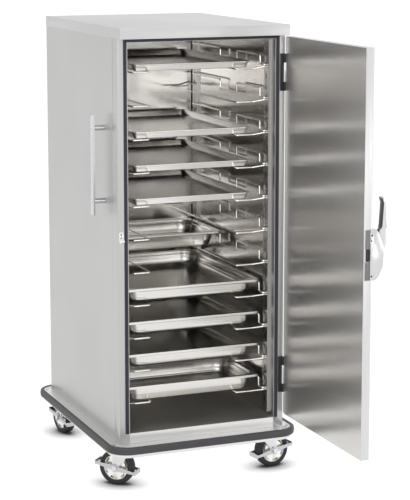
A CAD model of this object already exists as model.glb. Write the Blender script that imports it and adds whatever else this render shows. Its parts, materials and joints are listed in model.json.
import json
import math

import bmesh
import bpy
from mathutils import Matrix, Vector

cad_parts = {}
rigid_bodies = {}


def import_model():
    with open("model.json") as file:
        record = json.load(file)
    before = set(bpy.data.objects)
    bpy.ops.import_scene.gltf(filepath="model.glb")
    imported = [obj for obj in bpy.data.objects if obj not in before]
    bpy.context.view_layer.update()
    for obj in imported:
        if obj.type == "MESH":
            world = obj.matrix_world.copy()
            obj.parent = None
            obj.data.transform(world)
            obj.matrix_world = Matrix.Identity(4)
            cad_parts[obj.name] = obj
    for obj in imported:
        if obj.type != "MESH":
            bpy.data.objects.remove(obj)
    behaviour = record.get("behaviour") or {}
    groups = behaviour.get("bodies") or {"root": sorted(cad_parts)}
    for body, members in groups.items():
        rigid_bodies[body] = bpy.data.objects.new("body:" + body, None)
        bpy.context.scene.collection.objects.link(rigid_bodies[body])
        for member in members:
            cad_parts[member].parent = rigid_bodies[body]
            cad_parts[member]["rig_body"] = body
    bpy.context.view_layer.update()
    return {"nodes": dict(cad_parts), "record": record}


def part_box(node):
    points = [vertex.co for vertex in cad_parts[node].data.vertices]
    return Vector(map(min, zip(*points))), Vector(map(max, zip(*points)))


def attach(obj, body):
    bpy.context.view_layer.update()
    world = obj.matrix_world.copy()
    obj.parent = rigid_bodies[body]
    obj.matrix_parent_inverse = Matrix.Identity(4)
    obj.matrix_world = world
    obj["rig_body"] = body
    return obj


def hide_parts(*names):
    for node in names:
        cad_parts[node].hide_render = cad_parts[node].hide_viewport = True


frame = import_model()
node = frame["nodes"]

# The studio
# A pale floor that runs on to the horizon, a soft white surround, wide lamps on the left of the
# camera, weaker ones on its right and overhead, and a small low one that the back wall mirrors. The
# camera stands where the photographer stood.
scene = bpy.context.scene
scene.view_settings.view_transform = "Standard"

camera = bpy.data.cameras.new("photo_camera")
camera.lens = 125.73
camera.sensor_width = 36.0
camera.shift_y = -0.1
camera.clip_end = 200.0
photo_camera = bpy.data.objects.new("photo_camera", camera)
photo_camera.location = (-2.3387, -5.8049, 2.0222)
photo_camera.rotation_euler = (math.pi / 2 - 0.159, 0.0, -0.3893)
scene.collection.objects.link(photo_camera)
scene.camera = photo_camera


def links(tree, *pairs):
    """Links (output, input) pairs of a node tree."""
    for out_socket, in_socket in pairs:
        tree.links.new(out_socket, in_socket)


def seen_directly(tree):
    """1 for rays from the camera, in gloss and through glass, and 0 for the light that falls on things."""
    path = tree.nodes.new("ShaderNodeLightPath")
    first = tree.nodes.new("ShaderNodeMath")
    first.operation = "MAXIMUM"
    second = tree.nodes.new("ShaderNodeMath")
    second.operation = "MAXIMUM"
    links(tree,
          (path.outputs["Is Camera Ray"], first.inputs[0]),
          (path.outputs["Is Glossy Ray"], first.inputs[1]),
          (first.outputs[0], second.inputs[0]),
          (path.outputs["Is Transmission Ray"], second.inputs[1]))
    return second.outputs[0]


surround = bpy.data.worlds.new("white_surround")
surround.use_nodes = True
scene.world = surround
background = surround.node_tree.nodes["Background"]
strength = surround.node_tree.nodes.new("ShaderNodeMapRange")
strength.inputs["To Min"].default_value = 0.62
strength.inputs["To Max"].default_value = 1.0
background.inputs["Color"].default_value = (1.0, 1.0, 1.0, 1.0)
links(surround.node_tree,
      (seen_directly(surround.node_tree), strength.inputs["Value"]),
      (strength.outputs["Result"], background.inputs["Strength"]))

floor_mesh = bpy.data.meshes.new("studio_floor")
floor_shape = bmesh.new()
bmesh.ops.create_circle(floor_shape, cap_ends=True, segments=64, radius=90.0)
floor_shape.to_mesh(floor_mesh)
floor_shape.free()
studio_floor = bpy.data.objects.new("studio_floor", floor_mesh)
scene.collection.objects.link(studio_floor)
floor_paint = bpy.data.materials.new("floor_paint")
floor_paint.use_nodes = True
paint_nodes = floor_paint.node_tree.nodes
matt = paint_nodes["Principled BSDF"]
matt.inputs["Base Color"].default_value = (0.88, 0.88, 0.88, 1.0)
matt.inputs["Roughness"].default_value = 0.9
matt.inputs["Specular IOR Level"].default_value = 0.1
glow = paint_nodes.new("ShaderNodeEmission")
nearness = paint_nodes.new("ShaderNodeAmbientOcclusion")
nearness.samples = 16
nearness.inputs["Distance"].default_value = 0.085
contact = paint_nodes.new("ShaderNodeMapRange")
contact.inputs["From Min"].default_value = 0.45
contact.inputs["From Max"].default_value = 0.97
contact.inputs["To Min"].default_value = 0.0
contact.inputs["To Max"].default_value = 1.2
part_glow = paint_nodes.new("ShaderNodeMath")
part_glow.operation = "MULTIPLY"
part_glow.inputs[1].default_value = 0.80
blend_floor = paint_nodes.new("ShaderNodeMixShader")
links(floor_paint.node_tree,
      (nearness.outputs["AO"], contact.inputs["Value"]),
      (contact.outputs["Result"], glow.inputs["Strength"]),
      (seen_directly(floor_paint.node_tree), part_glow.inputs[0]),
      (part_glow.outputs[0], blend_floor.inputs[0]),
      (matt.outputs[0], blend_floor.inputs[1]),
      (glow.outputs[0], blend_floor.inputs[2]),
      (blend_floor.outputs[0], paint_nodes["Material Output"].inputs["Surface"]))
floor_mesh.materials.append(floor_paint)


def lamp(name, place, aim, size, watts):
    """A square soft lamp that points from its place to its aim."""
    data = bpy.data.lights.new(name, "AREA")
    data.size = size
    data.energy = watts
    holder = bpy.data.objects.new(name, data)
    holder.location = place
    holder.rotation_euler = (Vector(aim) - Vector(place)).to_track_quat("-Z", "Y").to_euler()
    scene.collection.objects.link(holder)


lamp("wide_left_lamp", (-4.2, -4.6, 3.0), (0.0, 0.0, 0.9), 3.0, 95.0)
lamp("low_front_lamp", (2.25, -5.2, 0.90), (0.0, 0.0, 0.9), 0.5, 5.6)
lamp("near_lamp", (-2.4, -6.8, 1.6), (0.0, 0.0, 0.9), 2.5, 24.0)
lamp("weak_right_lamp", (4.6, -4.0, 2.4), (0.0, -0.3, 0.8), 2.6, 30.0)
lamp("overhead_lamp", (0.0, -1.6, 4.6), (0.0, 0.0, 0.6), 3.2, 36.0)


# The base
# A stainless deck plate with a turned-down edge, on two cross channels that take the casters. Its
# corners are open behind the rim. A dark rubber bumper runs all round it.
def brushed(name, colour, rough, grain, shade=0.04, swing=0.06, scratch=0.12, wave=0.0,
            swell=(3.0, 3.0, 3.0), metallic=1.0, stretch=0.0):
    """Brushed or rolled sheet metal: a fine grain in its colour, roughness and relief, wide soft
    clouds, the slow swell of thin sheet that isn't quite flat, and gloss stretched level."""
    metal = bpy.data.materials.new(name)
    metal.use_nodes = True
    nodes = metal.node_tree.nodes
    skin = nodes["Principled BSDF"]
    skin.inputs["Metallic"].default_value = metallic
    skin.inputs["Anisotropic"].default_value = stretch
    if stretch:
        level_way = nodes.new("ShaderNodeTangent")
        level_way.direction_type = "RADIAL"
        level_way.axis = "Z"
        links(metal.node_tree, (level_way.outputs["Tangent"], skin.inputs["Tangent"]))
    place = nodes.new("ShaderNodeTexCoord")
    along = nodes.new("ShaderNodeMapping")
    along.inputs["Scale"].default_value = grain
    streaks = nodes.new("ShaderNodeTexNoise")
    streaks.inputs["Scale"].default_value = 1.0
    streaks.inputs["Detail"].default_value = 4.0
    cloud = nodes.new("ShaderNodeTexNoise")
    cloud.inputs["Scale"].default_value = 2.3
    cloud.inputs["Detail"].default_value = 2.0
    both = nodes.new("ShaderNodeMath")
    both.operation = "MULTIPLY_ADD"
    both.inputs[1].default_value = 0.55
    tones = nodes.new("ShaderNodeMapRange")
    tones.inputs["From Min"].default_value = 0.55
    tones.inputs["From Max"].default_value = 1.05
    ink = nodes.new("ShaderNodeMix")
    ink.data_type = "RGBA"
    ink.inputs["A"].default_value = (*[c * (1.0 - shade) for c in colour], 1.0)
    ink.inputs["B"].default_value = (*[min(1.0, c * (1.0 + shade)) for c in colour], 1.0)
    rub = nodes.new("ShaderNodeMapRange")
    rub.inputs["From Min"].default_value = 0.3
    rub.inputs["From Max"].default_value = 0.7
    rub.inputs["To Min"].default_value = rough - swing / 2
    rub.inputs["To Max"].default_value = rough + swing / 2
    spread = nodes.new("ShaderNodeMapping")
    spread.inputs["Scale"].default_value = swell
    sheet = nodes.new("ShaderNodeTexNoise")
    sheet.inputs["Scale"].default_value = 1.0
    sheet.inputs["Detail"].default_value = 1.0
    bend = nodes.new("ShaderNodeBump")
    bend.inputs["Strength"].default_value = wave
    bend.inputs["Distance"].default_value = 0.01
    relief = nodes.new("ShaderNodeBump")
    relief.inputs["Strength"].default_value = scratch
    relief.inputs["Distance"].default_value = 0.0002
    links(metal.node_tree,
          (place.outputs["Object"], along.inputs["Vector"]),
          (along.outputs["Vector"], streaks.inputs["Vector"]),
          (place.outputs["Object"], cloud.inputs["Vector"]),
          (streaks.outputs["Fac"], both.inputs[0]),
          (cloud.outputs["Fac"], both.inputs[2]),
          (both.outputs[0], tones.inputs["Value"]),
          (tones.outputs["Result"], ink.inputs["Factor"]),
          (ink.outputs["Result"], skin.inputs["Base Color"]),
          (streaks.outputs["Fac"], rub.inputs["Value"]),
          (rub.outputs["Result"], skin.inputs["Roughness"]),
          (place.outputs["Object"], spread.inputs["Vector"]),
          (spread.outputs["Vector"], sheet.inputs["Vector"]),
          (sheet.outputs["Fac"], bend.inputs["Height"]),
          (streaks.outputs["Fac"], relief.inputs["Height"]),
          (bend.outputs["Normal"], relief.inputs["Normal"]),
          (relief.outputs["Normal"], skin.inputs["Normal"]))
    return metal


def moulded(name, colour, rough, grit=260.0, bump=0.12, shade=0.18, gloss=0.4):
    """Rubber or plastic from a mould: a fine grit, faint mottling and a little dust on it."""
    stuff = bpy.data.materials.new(name)
    stuff.use_nodes = True
    nodes = stuff.node_tree.nodes
    skin = nodes["Principled BSDF"]
    skin.inputs["Specular IOR Level"].default_value = gloss
    place = nodes.new("ShaderNodeTexCoord")
    grain = nodes.new("ShaderNodeTexNoise")
    grain.inputs["Scale"].default_value = grit
    grain.inputs["Detail"].default_value = 3.0
    mottle = nodes.new("ShaderNodeTexNoise")
    mottle.inputs["Scale"].default_value = 14.0
    mottle.inputs["Detail"].default_value = 4.0
    ink = nodes.new("ShaderNodeMix")
    ink.data_type = "RGBA"
    ink.inputs["A"].default_value = (*[c * (1 - shade) for c in colour], 1.0)
    ink.inputs["B"].default_value = (*[c * (1 + shade) for c in colour], 1.0)
    rub = nodes.new("ShaderNodeMapRange")
    rub.inputs["To Min"].default_value = rough - 0.08
    rub.inputs["To Max"].default_value = rough + 0.08
    relief = nodes.new("ShaderNodeBump")
    relief.inputs["Strength"].default_value = bump
    relief.inputs["Distance"].default_value = 0.0004
    links(stuff.node_tree,
          (place.outputs["Object"], grain.inputs["Vector"]),
          (place.outputs["Object"], mottle.inputs["Vector"]),
          (mottle.outputs["Fac"], ink.inputs["Factor"]),
          (ink.outputs["Result"], skin.inputs["Base Color"]),
          (mottle.outputs["Fac"], rub.inputs["Value"]),
          (rub.outputs["Result"], skin.inputs["Roughness"]),
          (grain.outputs["Fac"], relief.inputs["Height"]),
          (relief.outputs["Normal"], skin.inputs["Normal"]))
    return stuff


def finish(material, *names):
    """Gives CAD nodes their material."""
    for name in names:
        mesh = node[name].data
        mesh.materials.clear()
        mesh.materials.append(material)


cap_low, cap_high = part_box("top_cap")
middle = (cap_low + cap_high) / 2


def at(x, y, z):
    """The place at x and y from the cabinet's upright middle line, and z above the floor."""
    return Vector((middle.x + x, middle.y + y, z))


def show(name, mesh, material, body, slot, *stands_for):
    """Puts a mesh into the scene as a piece that rides on a body and may stand for CAD nodes."""
    mesh.materials.clear()
    mesh.materials.append(material)
    piece = bpy.data.objects.new(name, mesh)
    scene.collection.objects.link(piece)
    if stands_for:
        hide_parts(*stands_for)
    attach(piece, body)
    return piece


def soften(name, source, material, slot, edge=0.001, steps=2, angle=30.0):
    """A copy of a CAD node with whole faces and every edge folded or worn round, which stands for it."""
    shape = bmesh.new()
    shape.from_mesh(node[source].data)
    bmesh.ops.remove_doubles(shape, verts=shape.verts, dist=2e-5)
    bmesh.ops.dissolve_limit(shape, angle_limit=math.radians(0.8), verts=shape.verts, edges=shape.edges)
    mesh = bpy.data.meshes.new(name)
    shape.to_mesh(mesh)
    shape.free()
    mesh.shade_smooth()
    piece = show(name, mesh, material, node[source]["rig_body"], slot, source)
    fold = piece.modifiers.new("fold", "BEVEL")
    fold.width = edge
    fold.segments = steps
    fold.limit_method = "ANGLE"
    fold.angle_limit = math.radians(angle)
    fold.harden_normals = True
    fold.use_clamp_overlap = True
    return piece


deck_steel = brushed("deck_steel", (0.74, 0.74, 0.735), 0.36, (14.0, 420.0, 420.0), wave=0.05)
soften("deck_plate", "base_deck", deck_steel, "base_steel", edge=0.0018, steps=3)
finish(deck_steel, "base_channels")
bumper_rubber = moulded("bumper_rubber", (0.062, 0.061, 0.066), 0.5)


def outline(half_w, half_l, r, z, turns=7):
    """A rounded rectangle's points at one height, anticlockwise."""
    points = []
    for quarter, (sx, sy) in enumerate(((1, 1), (-1, 1), (-1, -1), (1, -1))):
        for step in range(turns + 1):
            a = math.pi / 2 * (quarter + step / turns)
            points.append((sx * (half_w - r) + r * math.cos(a), sy * (half_l - r) + r * math.sin(a), z))
    return points


def join_rings(shape, rows):
    """Faces between each ring of corners and the next."""
    for lower, upper in zip(rows, rows[1:]):
        for i in range(len(lower)):
            j = (i + 1) % len(lower)
            shape.faces.new((lower[i], lower[j], upper[j], upper[i]))


def bumper_mesh():
    """The rubber band: a round-edged strip with a ridge along its middle, swept round the deck."""
    low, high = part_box("bumper")
    half = (high - low) / 2
    centre = (low + high) / 2
    deck_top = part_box("base_deck")[1].z
    section = [(0.0, -0.0250)]
    section += [(0.009 + 0.005 * math.sin(a), -0.0200 - 0.005 * math.cos(a))
                for a in [math.radians(15 * step) for step in range(7)]]
    section += [(0.0140, -0.0130), (0.0151, -0.0122), (0.0155, -0.0114), (0.0151, -0.0106), (0.0140, -0.0098)]
    section += [(0.009 + 0.005 * math.cos(a), -0.0032 + 0.005 * math.sin(a))
                for a in [math.radians(15 * step) for step in range(7)]]
    section.append((0.0, 0.0018))
    shape = bmesh.new()
    rows = []
    for out, z in section:
        inset = 0.0155 - out
        ring = outline(half.x - inset, half.y - inset, 0.066 + out, deck_top + z, turns=12)
        rows.append([shape.verts.new((centre.x + x, centre.y + y, z1)) for x, y, z1 in ring])
    join_rings(shape, rows + rows[:1])
    bmesh.ops.recalc_face_normals(shape, faces=shape.faces)
    mesh = bpy.data.meshes.new("bumper_band")
    shape.to_mesh(mesh)
    shape.free()
    mesh.shade_smooth()
    mesh.set_sharp_from_angle(angle=math.radians(50))
    return mesh


show("bumper_band", bumper_mesh(), bumper_rubber, "cabinet", "bumper_rubber", "bumper")

# The casters
# Four bright zinc-plated swivel casters, each with a pressed yoke, a slotted wheel disc, a black
# rubber tyre and a foot brake that straddles the wheel. Hexagon bolts hold them to the channels.
def new_tree(name, inputs):
    """An empty geometry tree with named inputs, and its group input and output nodes."""
    tree = bpy.data.node_groups.new(name, "GeometryNodeTree")
    tree.interface.new_socket("Geometry", in_out="OUTPUT", socket_type="NodeSocketGeometry")
    tree.interface.new_socket("Geometry", in_out="INPUT", socket_type="NodeSocketGeometry")
    for label, kind in inputs:
        tree.interface.new_socket(label, in_out="INPUT", socket_type="NodeSocket" + kind)
    return tree, tree.nodes.new("NodeGroupInput"), tree.nodes.new("NodeGroupOutput")


def grow(name, seed_mesh, tree, values):
    """The plain mesh that a geometry tree makes from a seed mesh."""
    grower = bpy.data.objects.new(name + "_seed", seed_mesh)
    scene.collection.objects.link(grower)
    build = grower.modifiers.new("build", "NODES")
    build.node_group = tree
    for item in tree.interface.items_tree:
        if item.in_out == "INPUT" and item.name in values:
            build[item.identifier] = values[item.name]
    bpy.context.view_layer.update()
    solved = grower.evaluated_get(bpy.context.evaluated_depsgraph_get())
    mesh = bpy.data.meshes.new_from_object(solved)
    mesh.name = name
    bpy.data.objects.remove(grower)
    return mesh


def fastener_tree(name, sides, socket):
    """Sets a bolt or screw head on every point, turned to the point's facing. A socket leaves a
    hexagon hole in its top."""
    tree, given, result = new_tree(name, [("Head radius", "Float"), ("Head height", "Float"),
                                          ("Finish", "Material")])
    head = tree.nodes.new("GeometryNodeMeshCone")
    head.inputs["Vertices"].default_value = sides
    crown = tree.nodes.new("ShaderNodeMath")
    crown.operation = "MULTIPLY"
    crown.inputs[1].default_value = 0.74 if socket else 0.94
    links(tree,
          (given.outputs["Head radius"], head.inputs["Radius Bottom"]),
          (given.outputs["Head radius"], crown.inputs[0]),
          (crown.outputs[0], head.inputs["Radius Top"]),
          (given.outputs["Head height"], head.inputs["Depth"]))
    shaped = head.outputs["Mesh"]
    if socket:
        hole = tree.nodes.new("GeometryNodeMeshCone")
        hole.inputs["Vertices"].default_value = 6
        across = tree.nodes.new("ShaderNodeMath")
        across.operation = "MULTIPLY"
        across.inputs[1].default_value = 0.42
        lift = tree.nodes.new("ShaderNodeCombineXYZ")
        half = tree.nodes.new("ShaderNodeMath")
        half.operation = "MULTIPLY"
        half.inputs[1].default_value = 0.45
        place = tree.nodes.new("GeometryNodeTransform")
        cut = tree.nodes.new("GeometryNodeMeshBoolean")
        cut.operation = "DIFFERENCE"
        links(tree,
              (given.outputs["Head radius"], across.inputs[0]),
              (across.outputs[0], hole.inputs["Radius Top"]),
              (across.outputs[0], hole.inputs["Radius Bottom"]),
              (given.outputs["Head height"], hole.inputs["Depth"]),
              (given.outputs["Head height"], half.inputs[0]),
              (half.outputs[0], lift.inputs["Z"]),
              (hole.outputs["Mesh"], place.inputs["Geometry"]),
              (lift.outputs["Vector"], place.inputs["Translation"]),
              (shaped, cut.inputs["Mesh 1"]),
              (place.outputs["Geometry"], cut.inputs["Mesh 2"]))
        shaped = cut.outputs["Mesh"]
    facing = tree.nodes.new("GeometryNodeInputNamedAttribute")
    facing.data_type = "FLOAT_VECTOR"
    facing.inputs["Name"].default_value = "facing"
    turn = tree.nodes.new("FunctionNodeAlignRotationToVector")
    turn.axis = "Z"
    copies = tree.nodes.new("GeometryNodeInstanceOnPoints")
    real = tree.nodes.new("GeometryNodeRealizeInstances")
    coat = tree.nodes.new("GeometryNodeSetMaterial")
    links(tree,
          (given.outputs["Geometry"], copies.inputs["Points"]),
          (shaped, copies.inputs["Instance"]),
          (facing.outputs["Attribute"], turn.inputs["Vector"]),
          (turn.outputs["Rotation"], copies.inputs["Rotation"]),
          (copies.outputs["Instances"], real.inputs["Geometry"]),
          (real.outputs["Geometry"], coat.inputs["Geometry"]),
          (given.outputs["Finish"], coat.inputs["Material"]),
          (coat.outputs["Geometry"], result.inputs["Geometry"]))
    return tree


def facing_points(name, spots):
    """A seed mesh with one point for each (place, facing) spot."""
    seed = bpy.data.meshes.new(name + "_spots")
    seed.from_pydata([tuple(spot) for spot, facing in spots], [], [])
    way = seed.attributes.new("facing", "FLOAT_VECTOR", "POINT")
    way.data.foreach_set("vector", [c for spot, facing in spots for c in facing])
    return seed


def fasteners(name, tree, spots, radius, height, material, body, slot):
    """One piece of like fasteners, each at a (place, facing) spot."""
    values = {"Head radius": radius, "Head height": height, "Finish": material}
    mesh = grow(name, facing_points(name, spots), tree, values)
    return show(name, mesh, material, body, slot)


hexagon_bolts = fastener_tree("hexagon_bolts", 6, False)
socket_screws = fastener_tree("socket_screws", 18, True)

zinc_plate = brushed("zinc_plate", (0.70, 0.70, 0.72), 0.30, (160.0, 160.0, 160.0), shade=0.10,
                     scratch=0.06)
tyre_rubber = moulded("tyre_rubber", (0.022, 0.021, 0.026), 0.6)
disc_steel = brushed("disc_steel", (0.86, 0.85, 0.81), 0.30, (160.0, 160.0, 160.0), shade=0.06,
                     scratch=0.06)
brake_steel = brushed("brake_steel", (0.54, 0.54, 0.55), 0.30, (160.0, 160.0, 160.0), shade=0.10,
                      scratch=0.06)
corners = ("front_left", "front_right", "rear_left", "rear_right")
joints = {joint["name"]: joint for joint in frame["record"]["behaviour"]["joints"]}


def tyre_mesh(corner, turns=96):
    """A moulded tyre, turned about its axle: crowned tread, round shoulders, a ring on each sidewall
    and a lip that laps over the rim of the wheel disc."""
    half = [(0.0650, 0.0), (0.0650, 0.0070), (0.0646, 0.0128), (0.0632, 0.0163), (0.0606, 0.0186),
            (0.0560, 0.0194), (0.0540, 0.0194), (0.0537, 0.0190), (0.0529, 0.0190), (0.0526, 0.0194),
            (0.0486, 0.0194), (0.0465, 0.0189), (0.0460, 0.0181), (0.0501, 0.0181)]
    section = half + [(radius, -out) for radius, out in half[:0:-1]]
    roll = joints["roll_" + corner]
    turn = Vector(roll["axis"]).to_track_quat("Z", "Y")
    centre = Vector(roll["pos_m"])
    shape = bmesh.new()
    rows = []
    for step in range(turns):
        a = 2 * math.pi * step / turns
        places = [Vector((radius * math.cos(a), radius * math.sin(a), out)) for radius, out in section]
        rows.append([shape.verts.new(centre + turn @ place) for place in places])
    join_rings(shape, rows + rows[:1])
    bmesh.ops.recalc_face_normals(shape, faces=shape.faces)
    mesh = bpy.data.meshes.new("rubber_" + corner)
    shape.to_mesh(mesh)
    shape.free()
    mesh.shade_smooth()
    mesh.set_sharp_from_angle(angle=math.radians(40))
    return mesh


soften("caster_tops", "caster_plates", zinc_plate, "zinc", edge=0.0008)
for corner in corners:
    soften("yoke_" + corner, "fork_" + corner, zinc_plate, "zinc", edge=0.0009)
    soften("disc_" + corner, "hub_" + corner, disc_steel, "zinc", edge=0.0007)
    soften("brake_arm_" + corner, "brake_" + corner, brake_steel, "zinc", edge=0.0008)
    show("rubber_" + corner, tyre_mesh(corner), tyre_rubber, "wheel_" + corner, "tyre_rubber",
         "tyre_" + corner)
CASTER_X = 0.272
CASTER_Y = (-0.322, 0.3605)
BOLT_X = 0.038
BOLT_Y = 0.030
PLATE_UNDERSIDE = 0.1505
plate_bolts = [(at(sx * CASTER_X + bx, y + by, PLATE_UNDERSIDE), (0, 0, -1))
               for sx in (-1, 1) for y in CASTER_Y for bx in (-BOLT_X, BOLT_X) for by in (-BOLT_Y, BOLT_Y)]
fasteners("plate_bolt_heads", hexagon_bolts, plate_bolts, 0.0065, 0.005, zinc_plate, "cabinet", "zinc")

# The shell
# Outer sides, back, top cap, floor pan and face frame, folded from satin stainless sheet.
satin = brushed("satin_steel", (0.50, 0.50, 0.495), 0.36, (420.0, 420.0, 9.0), wave=0.10,
                swell=(1.6, 1.6, 1.2))
satin_top = brushed("satin_top_steel", (0.56, 0.56, 0.56), 0.38, (9.0, 420.0, 420.0), wave=0.08)
finish(satin, "side_panel_left", "side_panel_right", "back_panel")
soften("post_frame", "face_frame", satin, "shell_steel", edge=0.0009)
soften("folded_cap", "top_cap", satin_top, "shell_steel", edge=0.0022, steps=3)
soften("sill_pan", "bottom_pan", deck_steel, "base_steel", edge=0.0009)

# The inner shell
# Bright stainless liners, with the insulating blanket between them and the shell.
liner = brushed("liner_steel", (0.665, 0.65, 0.63), 0.15, (9.0, 9.0, 240.0), swing=0.015, scratch=0.0,
                wave=0.07, swell=(2.0, 2.0, 7.0), metallic=0.98)
floor_liner = brushed("floor_liner_steel", (0.66, 0.64, 0.61), 0.38, (9.0, 240.0, 240.0), wave=0.04)
finish(liner, "liner_left", "liner_right", "liner_back", "liner_ceiling")
finish(floor_liner, "liner_floor")
mineral_wool = moulded("mineral_wool", (0.55, 0.48, 0.30), 0.95, grit=90.0, bump=0.5)
finish(mineral_wool, "insulation", "door_core")

# The gasket and the strike
# A dark blue-grey gasket on three sides of the opening, and the latch's keeper on the left post.
gasket_rubber = moulded("gasket_rubber", (0.028, 0.029, 0.043), 0.5)
soften("gasket_profile", "door_gasket", gasket_rubber, "gasket_rubber", edge=0.0012)
chrome = brushed("satin_chrome", (0.64, 0.64, 0.65), 0.22, (300.0, 300.0, 20.0), shade=0.03, scratch=0.05)
keeper_steel = brushed("keeper_steel", (0.66, 0.66, 0.66), 0.20, (200.0, 200.0, 200.0), shade=0.12)
soften("keeper", "strike", keeper_steel, "bright_metal", edge=0.0008)
screw_black = moulded("screw_black", (0.020, 0.020, 0.021), 0.45, bump=0.03)
strike_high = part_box("strike")[1]
keeper_screws = [(at(-0.3092, -0.3911, strike_high.z - drop), (0, -1, 0)) for drop in (0.0115, 0.0225)]
fasteners("keeper_screws", socket_screws, keeper_screws, 0.0023, 0.0010, screw_black, "cabinet",
          "black_plastic")

# The hinges
# Black frame halves with the pins, and bright door halves with the middle knuckles.
black_paint = moulded("black_hinge_paint", (0.010, 0.010, 0.011), 0.35, bump=0.05)
soften("black_hinge_leaves", "frame_hinges", black_paint, "black_hinge", edge=0.0007)
soften("bright_hinge_leaves", "door_hinges", chrome, "bright_metal", edge=0.0005)

# The rack
# Four slotted uprights on the side liners, and on each side of every level a bright plated wire
# slide of two bent wires: a low rail, and a raised one by the wall for the rims of deep pans.
upright_steel = brushed("upright_steel", (0.50, 0.49, 0.475), 0.26, (420.0, 420.0, 9.0))
finish(upright_steel, "rack_uprights")
bright_wire = brushed("bright_wire", (0.84, 0.82, 0.77), 0.17, (90.0, 90.0, 90.0), shade=0.05, scratch=0.04)
LEVELS = 11
LEVEL_PITCH = 0.120
LOWEST_SLIDE = 0.292
FRONT_SLOT, REAR_SLOT = -0.330, 0.360
LEG_Y = -0.303
RAIL_X, LEG_X, WALL_X, HOOK_X = 0.168, 0.232, 0.262, 0.2765
DIP_FRONT, DIP_REAR = -0.086, 0.074


def bent_wire_tree():
    """Bends polylines into round wire and repeats them up the rack."""
    tree, given, result = new_tree("bent_wires", [("Wire radius", "Float"), ("Bend radius", "Float"),
                                                  ("Levels", "Int"), ("Level pitch", "Vector"),
                                                  ("Finish", "Material")])
    line = tree.nodes.new("GeometryNodeMeshToCurve")
    bend = tree.nodes.new("GeometryNodeFilletCurve")
    bend.mode = "POLY"
    bend.inputs["Count"].default_value = 5
    bend.inputs["Limit Radius"].default_value = True
    section = tree.nodes.new("GeometryNodeCurvePrimitiveCircle")
    section.inputs["Resolution"].default_value = 10
    tube = tree.nodes.new("GeometryNodeCurveToMesh")
    tube.inputs["Fill Caps"].default_value = True
    smooth = tree.nodes.new("GeometryNodeSetShadeSmooth")
    ladder = tree.nodes.new("GeometryNodeMeshLine")
    copies = tree.nodes.new("GeometryNodeInstanceOnPoints")
    real = tree.nodes.new("GeometryNodeRealizeInstances")
    coat = tree.nodes.new("GeometryNodeSetMaterial")
    links(tree,
          (given.outputs["Geometry"], line.inputs["Mesh"]),
          (line.outputs["Curve"], bend.inputs["Curve"]),
          (given.outputs["Bend radius"], bend.inputs["Radius"]),
          (given.outputs["Wire radius"], section.inputs["Radius"]),
          (bend.outputs["Curve"], tube.inputs["Curve"]),
          (section.outputs["Curve"], tube.inputs["Profile Curve"]),
          (tube.outputs["Mesh"], smooth.inputs["Geometry"]),
          (given.outputs["Levels"], ladder.inputs["Count"]),
          (given.outputs["Level pitch"], ladder.inputs["Offset"]),
          (ladder.outputs["Mesh"], copies.inputs["Points"]),
          (smooth.outputs["Geometry"], copies.inputs["Instance"]),
          (copies.outputs["Instances"], real.inputs["Geometry"]),
          (real.outputs["Geometry"], coat.inputs["Geometry"]),
          (given.outputs["Finish"], coat.inputs["Material"]),
          (coat.outputs["Geometry"], result.inputs["Geometry"]))
    return tree


def path_mesh(name, paths):
    """A mesh of loose edges, one run for each list of points."""
    points, edges = [], []
    for path in paths:
        edges += [(len(points) + i, len(points) + i + 1) for i in range(len(path) - 1)]
        points += path
    mesh = bpy.data.meshes.new(name)
    mesh.from_pydata(points, edges, [])
    return mesh


bent_wires = bent_wire_tree()
for side, sign in (("left", -1), ("right", 1)):
    low = [(HOOK_X, FRONT_SLOT, 0.009), (0.264, FRONT_SLOT, 0.009), (LEG_X, LEG_Y, 0.0), (RAIL_X, LEG_Y, 0.0),
           (RAIL_X, REAR_SLOT, 0.0), (LEG_X, REAR_SLOT, 0.0), (0.264, REAR_SLOT, 0.009),
           (HOOK_X, REAR_SLOT, 0.009)]
    high = [(HOOK_X, REAR_SLOT, 0.050), (WALL_X, REAR_SLOT, 0.050), (WALL_X, DIP_REAR, 0.050),
            (WALL_X, DIP_REAR, 0.012), (WALL_X, DIP_FRONT, 0.012), (WALL_X, DIP_FRONT, 0.050),
            (WALL_X, -0.299, 0.050), (WALL_X, -0.299, 0.016), (WALL_X, FRONT_SLOT, 0.016),
            (HOOK_X, FRONT_SLOT, 0.016)]
    runs = [[at(sign * x, y, LOWEST_SLIDE + z) for x, y, z in run] for run in (low, high)]
    wires = grow("wires_" + side, path_mesh("wire_paths", runs), bent_wires,
                 {"Wire radius": 0.003, "Bend radius": 0.007, "Levels": LEVELS,
                  "Level pitch": (0.0, 0.0, LEVEL_PITCH), "Finish": bright_wire})
    show("wires_" + side, wires, bright_wire, "cabinet", "wire", "slides_" + side)

# The pans
# Shallow pans drawn from sheet with sloping walls and a rolled rim, and deep stainless pans with a
# shoulder below a flat rim that is turned down all round.
pan_satin = brushed("pan_satin", (0.73, 0.715, 0.69), 0.22, (90.0, 9.0, 90.0), shade=0.02, swing=0.03,
                    scratch=0.02, metallic=0.98)
tray_satin = brushed("tray_satin", (0.78, 0.77, 0.75), 0.23, (9.0, 120.0, 120.0), shade=0.03, swing=0.04,
                     scratch=0.01, metallic=0.98)


def drawn_pan(name, stages, centre, low_z):
    """A shell through outlines of (half width, half length, corner, height), from its underside over
    the rim and down to the bottom inside."""
    shape = bmesh.new()
    rows = [[shape.verts.new(Vector((centre.x, centre.y, low_z)) + Vector(p)) for p in outline(*stage)]
            for stage in stages]
    shape.faces.new(rows[0][::-1])
    join_rings(shape, rows)
    shape.faces.new(rows[-1])
    mesh = bpy.data.meshes.new(name)
    shape.to_mesh(mesh)
    shape.free()
    mesh.shade_smooth()
    return mesh


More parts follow.
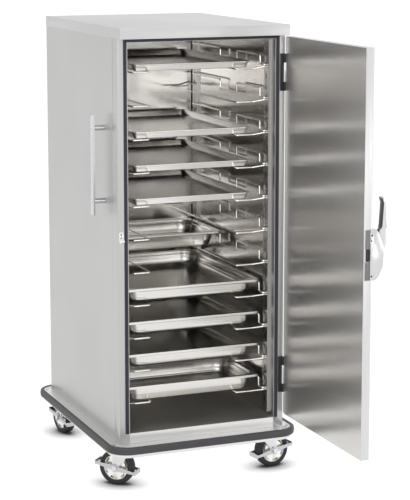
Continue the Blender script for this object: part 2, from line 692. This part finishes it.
def rolled_tray(half_w, half_l, height):
    """The stages of a shallow pan with a rolled rim."""
    bead = 0.0025
    wall = half_w - 2 * bead
    foot = wall - 0.009
    length = half_l - half_w
    stages = [(foot - 0.006, 0.004, 0.0), (foot - 0.002, 0.008, 0.0), (foot - 0.0004, 0.0096, 0.0006),
              (foot + 0.0008, 0.0108, 0.0022), (wall - 0.0006, 0.0184, height - 0.006)]
    for step in range(9):
        a = math.radians(200 + 31.25 * step)
        stages.append((half_w - bead + bead * math.cos(a), 0.0215 + bead * math.cos(a),
                       height - bead + bead * math.sin(a)))
    stages += [(wall - 0.0014, 0.0176, height - 0.003), (foot + 0.0002, 0.0100, 0.0044),
               (foot - 0.0014, 0.0082, 0.0018), (foot - 0.0034, 0.0062, 0.0012),
               (foot - 0.010, 0.003, 0.0012)]
    return [(w, w + length, r, z) for w, r, z in stages]


def deep_tray(half_w, half_l, height, foot_in=0.036, round_r=0.030):
    """The stages of a deep pan: round foot, wall with two shoulders, collar, flat rim, turned-down edge."""
    length = half_l - half_w
    collar = half_w - 0.015
    sheet = 0.0012
    band = height - 0.012
    deepest = collar - foot_in + round_r

    def foot(radius, lift):
        turns = [math.radians(90 * step / 8) for step in range(9)]
        return [(deepest - round_r + radius * math.sin(a), lift + radius * (1 - math.cos(a))) for a in turns]

    wall_run = foot_in - round_r - 0.003
    wall = [(0.1, 0.0015), (0.4, 0.0030), (0.5, 0.0150), (0.9, 0.0165), (1.0, band - 0.002 - round_r)]
    side = [(deepest + wall_run * part, round_r + rise) for part, rise in wall]
    shoulder = [(collar - 0.0026, band - 0.0012), (collar - 0.0006, band + 0.0004), (collar, band + 0.0018)]
    outside = [(deepest - round_r - 0.010, 0.0)] + foot(round_r, 0.0) + side + shoulder
    inside = [(deepest - round_r - 0.010, sheet)] + foot(round_r - sheet, sheet)
    inside += [(w - sheet, z) for w, z in side + shoulder]
    rim = [(collar, height - 0.0024), (collar + 0.0010, height - 0.0012), (half_w - 0.0022, height - 0.0012),
           (half_w - 0.0012, height - 0.0020), (half_w - 0.0012, height - 0.0085), (half_w, height - 0.0085),
           (half_w, height - 0.0018), (half_w - 0.0005, height - 0.0006), (half_w - 0.0018, height),
           (collar + 0.0014, height), (collar - 0.0002, height - 0.0005), (collar - 0.0012, height - 0.0020)]

    def corner(w):
        return 0.058 - (collar - w) if w <= collar else 0.058 - 2.4 * (w - collar)

    return [(w, w + length, corner(w), z) for w, z in outside + rim + inside[::-1]]


def plain_deep_tray(half_w, half_l, height):
    """A deep pan with a sharper foot."""
    return deep_tray(half_w, half_l, height, foot_in=0.019, round_r=0.006)


for pan, shape_of in (("sheet_pan_1", rolled_tray), ("sheet_pan_3", rolled_tray),
                      ("sheet_pan_4", rolled_tray), ("sheet_pan_5", rolled_tray),
                      ("single_pan_7", plain_deep_tray), ("deep_pan_8", deep_tray), ("deep_pan_9", deep_tray),
                      ("deep_pan_10", deep_tray), ("single_pan_11", plain_deep_tray)):
    low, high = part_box(pan)
    half = (high - low) / 2
    stages = shape_of(half.x, half.y, high.z - low.z)
    mesh = drawn_pan("drawn_" + pan, stages, (low + high) / 2, low.z)
    steel = tray_satin if shape_of is rolled_tray else pan_satin
    piece = show("drawn_" + pan, mesh, steel, "tray_" + pan, "pan_steel", pan)
    flats = piece.modifiers.new("flats", "WEIGHTED_NORMAL")
    flats.weight = 60

# The door
# A pan of satin sheet, filled and closed by a bright inner sheet.
door_satin = brushed("door_satin_steel", (0.66, 0.66, 0.665), 0.34, (420.0, 420.0, 9.0))
door_bright = brushed("door_inner_steel", (0.70, 0.685, 0.665), 0.25, (4.0, 4.0, 240.0), shade=0.02,
                      swing=0.02, scratch=0.0, wave=0.14, swell=(0.9, 0.9, 8.0), metallic=0.90, stretch=0.85)
soften("door_pan", "door_outer", door_satin, "shell_steel", edge=0.0018, steps=3)
finish(door_bright, "door_inner")

# The latch
# A cast case on the door's free edge with a long pull lever between its cheeks. A grey channel on
# the edge frames the opening that takes the keeper, and three screws hold the case.
HINGE_X, HINGE_Y = 0.316, -0.3955


def on_door(x, y, z):
    """A place on the open door, from its place on the closed door."""
    return at(HINGE_X - (y - HINGE_Y), HINGE_Y + (x - HINGE_X), z)


soften("latch_case", "latch_body", chrome, "bright_metal", edge=0.0012)
pull_lever = soften("pull_lever", "latch_lever", chrome, "bright_metal", edge=0.0014)
grip_dark = brushed("grip_dark_steel", (0.10, 0.10, 0.10), 0.30, (200.0, 200.0, 30.0), shade=0.10)
pull_lever.data.materials.append(grip_dark)
for face in pull_lever.data.polygons:
    face.material_index = 1 if face.normal.x < -0.75 else 0
channel_grey = brushed("channel_grey", (0.20, 0.20, 0.20), 0.36, (300.0, 300.0, 9.0))


def folded_strip(name, sections, material, body, slot, *stands_for):
    """A piece swept straight through like outlines, one list of places each, capped at both ends."""
    shape = bmesh.new()
    rows = [[shape.verts.new(p) for p in section] for section in sections]
    join_rings(shape, rows)
    shape.faces.new(rows[0][::-1])
    shape.faces.new(rows[-1])
    bmesh.ops.recalc_face_normals(shape, faces=shape.faces)
    mesh = bpy.data.meshes.new(name)
    shape.to_mesh(mesh)
    shape.free()
    return show(name, mesh, material, body, slot, *stands_for)


LATCH_Z = 0.926
trough = [(-0.3145, -0.4005), (-0.3145, -0.4020), (-0.3135, -0.4020), (-0.3135, -0.4175), (-0.3145, -0.4175),
          (-0.3145, -0.4190), (-0.3125, -0.4190), (-0.3125, -0.4005)]
for part, z0, z1 in (("upper", LATCH_Z + 0.022, LATCH_Z + 0.085),
                     ("lower", LATCH_Z - 0.085, LATCH_Z - 0.022)):
    folded_strip("latch_channel_" + part, [[on_door(x, y, z) for x, y in trough] for z in (z0, z1)],
                 channel_grey, "door", "bright_metal")
pocket = [(-0.3130, -0.4020), (-0.3130, -0.4175), (-0.3122, -0.4175), (-0.3122, -0.4020)]
pocket_ends = (LATCH_Z - 0.0215, LATCH_Z + 0.0215)
folded_strip("latch_pocket", [[on_door(x, y, z) for x, y in pocket] for z in pocket_ends], screw_black,
             "door", "black_plastic")
latch_screws = [(on_door(-0.3130, -0.4250, LATCH_Z + dz), (0, -1, 0)) for dz in (0.066, 0.048, -0.072)]
fasteners("latch_screws", socket_screws, latch_screws, 0.0034, 0.0014, screw_black, "door", "black_plastic")

# The door's hem
# The inner sheet is hemmed along the hinge edge, in lengths that leave the hinges free.
door_low, door_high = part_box("door_inner")
hinge_heights = [vertex.co.z for vertex in node["frame_hinges"].data.vertices]
waist = (door_low.z + door_high.z) / 2
lower_hinge = [z for z in hinge_heights if z < waist]
upper_hinge = [z for z in hinge_heights if z > waist]
hem = [(0.3135, -0.4003), (0.3135, -0.3966), (0.3130, -0.3960), (0.3122, -0.3960), (0.3117, -0.3966),
       (0.3117, -0.3990), (0.3040, -0.3999), (0.3040, -0.4008)]
for part, z0, z1 in (("low", door_low.z + 0.002, min(lower_hinge) - 0.003),
                     ("middle", max(lower_hinge) + 0.003, min(upper_hinge) - 0.003),
                     ("high", max(upper_hinge) + 0.003, door_high.z - 0.002)):
    folded_strip("door_hem_" + part, [[on_door(x, y, z) for x, y in hem] for z in (z0, z1)],
                 door_bright, "door", "shell_steel")

# The side handles
# Flat push bars, each on two round posts.
soften("push_bars", "side_handles", chrome, "shell_steel", edge=0.0012)

# The heater and the controls
# A perforated cover over a tube heater at the back of the floor. On the back wall, a plate with a
# thermostat knob, a rocker switch, a dial thermometer and the power inlet.
soften("heater_guard", "heater_cover", liner, "liner_steel", edge=0.0006)
heater_oxide = brushed("heater_oxide", (0.16, 0.14, 0.13), 0.45, (120.0, 120.0, 120.0), shade=0.2)
soften("heater_tube", "heater_element", heater_oxide, "heater_metal", edge=0.0003, angle=50.0)
black_plastic = moulded("black_plastic", (0.020, 0.020, 0.021), 0.32, gloss=0.5)
soften("dial_knob", "thermostat_knob", black_plastic, "black_plastic", edge=0.0012)
soften("rocker", "power_switch", black_plastic, "black_plastic", edge=0.0008)
soften("control_plate", "control_panel", satin, "shell_steel", edge=0.0006)
soften("dial_case", "thermometer", chrome, "bright_metal", edge=0.0008)
dial_white = moulded("dial_white", (0.80, 0.80, 0.78), 0.4, bump=0.03, shade=0.03)
print_black = moulded("print_black", (0.015, 0.015, 0.016), 0.5, bump=0.02)
BACK = 0.4305
DIAL_X, KNOB_X, DIAL_Z = 0.045, -0.045, 0.543


def marks_tree():
    """Stands thin tick marks on the points of a seed, pointing away from the dial's middle."""
    tree, given, result = new_tree("dial_ticks", [("Tick size", "Vector"), ("Finish", "Material")])
    tick = tree.nodes.new("GeometryNodeMeshCube")
    facing = tree.nodes.new("GeometryNodeInputNamedAttribute")
    facing.data_type = "FLOAT_VECTOR"
    facing.inputs["Name"].default_value = "facing"
    turn = tree.nodes.new("FunctionNodeAlignRotationToVector")
    turn.axis = "X"
    turn.pivot_axis = "Y"
    copies = tree.nodes.new("GeometryNodeInstanceOnPoints")
    real = tree.nodes.new("GeometryNodeRealizeInstances")
    coat = tree.nodes.new("GeometryNodeSetMaterial")
    links(tree,
          (given.outputs["Tick size"], tick.inputs["Size"]),
          (given.outputs["Geometry"], copies.inputs["Points"]),
          (tick.outputs["Mesh"], copies.inputs["Instance"]),
          (facing.outputs["Attribute"], turn.inputs["Vector"]),
          (turn.outputs["Rotation"], copies.inputs["Rotation"]),
          (copies.outputs["Instances"], real.inputs["Geometry"]),
          (real.outputs["Geometry"], coat.inputs["Geometry"]),
          (given.outputs["Finish"], coat.inputs["Material"]),
          (coat.outputs["Geometry"], result.inputs["Geometry"]))
    return tree


dial_ticks = marks_tree()


def scale_marks(name, x, z, y, radius, steps, size, first=-135.0, sweep=270.0):
    """Tick marks on an arc round (x, z), clockwise as seen from behind the cabinet."""
    spots = []
    for step in range(steps):
        a = math.radians(first + sweep * step / (steps - 1))
        away = Vector((-math.sin(a), 0.0, math.cos(a)))
        spots.append((at(x, y, z) + away * radius, away))
    mesh = grow(name, facing_points(name, spots), dial_ticks, {"Tick size": size, "Finish": print_black})
    show(name, mesh, print_black, "cabinet", "black_plastic")


def numerals(name, x, z, y, radius, labels, height, first=-135.0, sweep=270.0):
    """Plain numbers round a dial, read from behind the cabinet."""
    letters = []
    for step, label in enumerate(labels):
        a = math.radians(first + sweep * step / (len(labels) - 1))
        text = bpy.data.curves.new(name + label, "FONT")
        text.body = label
        text.size = height
        text.align_x = "CENTER"
        text.align_y = "CENTER"
        text.extrude = 0.00005
        text.resolution_u = 2
        word = bpy.data.objects.new(name + label, text)
        scene.collection.objects.link(word)
        bpy.context.view_layer.update()
        flat = bpy.data.meshes.new_from_object(word.evaluated_get(bpy.context.evaluated_depsgraph_get()))
        bpy.data.objects.remove(word)
        spot = at(x, y, z) + Vector((-math.sin(a), 0.0, math.cos(a))) * radius
        upright = Matrix.Rotation(math.pi, 4, "Z") @ Matrix.Rotation(math.pi / 2, 4, "X")
        flat.transform(Matrix.Translation(spot) @ upright)
        letters.append(flat)
    shape = bmesh.new()
    for flat in letters:
        shape.from_mesh(flat)
    mesh = bpy.data.meshes.new(name)
    shape.to_mesh(mesh)
    shape.free()
    show(name, mesh, print_black, "cabinet", "black_plastic")


def turned_disc(name, centre, profile, material, body, slot, turns=48):
    """A piece turned about an axis that runs out of the cabinet's back, from (radius, out) pairs."""
    shape = bmesh.new()
    rows = []
    for radius, out in profile:
        if radius == 0.0:
            rows.append([shape.verts.new(centre + Vector((0.0, out, 0.0)))])
        else:
            rows.append([shape.verts.new(centre + Vector((radius * math.cos(a), out, radius * math.sin(a))))
                         for a in [2 * math.pi * i / turns for i in range(turns)]])
    for lower, upper in zip(rows, rows[1:]):
        for i in range(turns):
            j = (i + 1) % turns
            ring = [lower[i % len(lower)], lower[j % len(lower)],
                    upper[j % len(upper)], upper[i % len(upper)]]
            shape.faces.new(list(dict.fromkeys(ring)))
    bmesh.ops.recalc_face_normals(shape, faces=shape.faces)
    mesh = bpy.data.meshes.new(name)
    shape.to_mesh(mesh)
    shape.free()
    mesh.shade_smooth()
    mesh.set_sharp_from_angle(angle=math.radians(40))
    return show(name, mesh, material, body, slot)


dial = at(DIAL_X, BACK + 0.0030, DIAL_Z)
turned_disc("dial_face", dial, [(0.0, 0.0), (0.0228, 0.0), (0.0228, 0.0006), (0.0, 0.0006)], dial_white,
            "cabinet", "bright_metal")
scale_marks("dial_minor_ticks", DIAL_X, DIAL_Z, BACK + 0.0037, 0.0195, 41, (0.0016, 0.0002, 0.00025))
scale_marks("dial_major_ticks", DIAL_X, DIAL_Z, BACK + 0.0037, 0.0188, 11, (0.0030, 0.0002, 0.0005))
numerals("dial_numbers", DIAL_X, DIAL_Z, BACK + 0.0037, 0.0142, ["0", "20", "40", "60", "80", "100"], 0.0040)
scale_marks("knob_ticks", KNOB_X, DIAL_Z, BACK + 0.0001, 0.0255, 10, (0.0030, 0.0003, 0.0006))
numerals("knob_numbers", KNOB_X, DIAL_Z, BACK + 0.0001, 0.0305, [str(n) for n in range(1, 11)], 0.0050)
turned_disc("pointer_boss", dial, [(0.0, 0.0006), (0.0022, 0.0006), (0.0022, 0.0022), (0.0, 0.0026)],
            print_black, "cabinet", "black_plastic", turns=16)
hand = [(-0.0006, -0.004), (0.0006, -0.004), (0.0002, 0.0165), (-0.0002, 0.0165)]
needle = Matrix.Rotation(math.radians(70), 3, "Y")
pointer_faces = [[dial + needle @ Vector((x, out, z)) for x, z in hand] for out in (0.0012, 0.0016)]
folded_strip("dial_pointer", pointer_faces, print_black, "cabinet", "black_plastic")
plate_screws = [(at(sx * 0.082, BACK + 0.0004, 0.505 + sz * 0.074), (0, 1, 0))
                for sx in (-1, 1) for sz in (-1, 1)]
fasteners("control_plate_screws", socket_screws, plate_screws, 0.0040, 0.0022, chrome, "cabinet",
          "bright_metal")
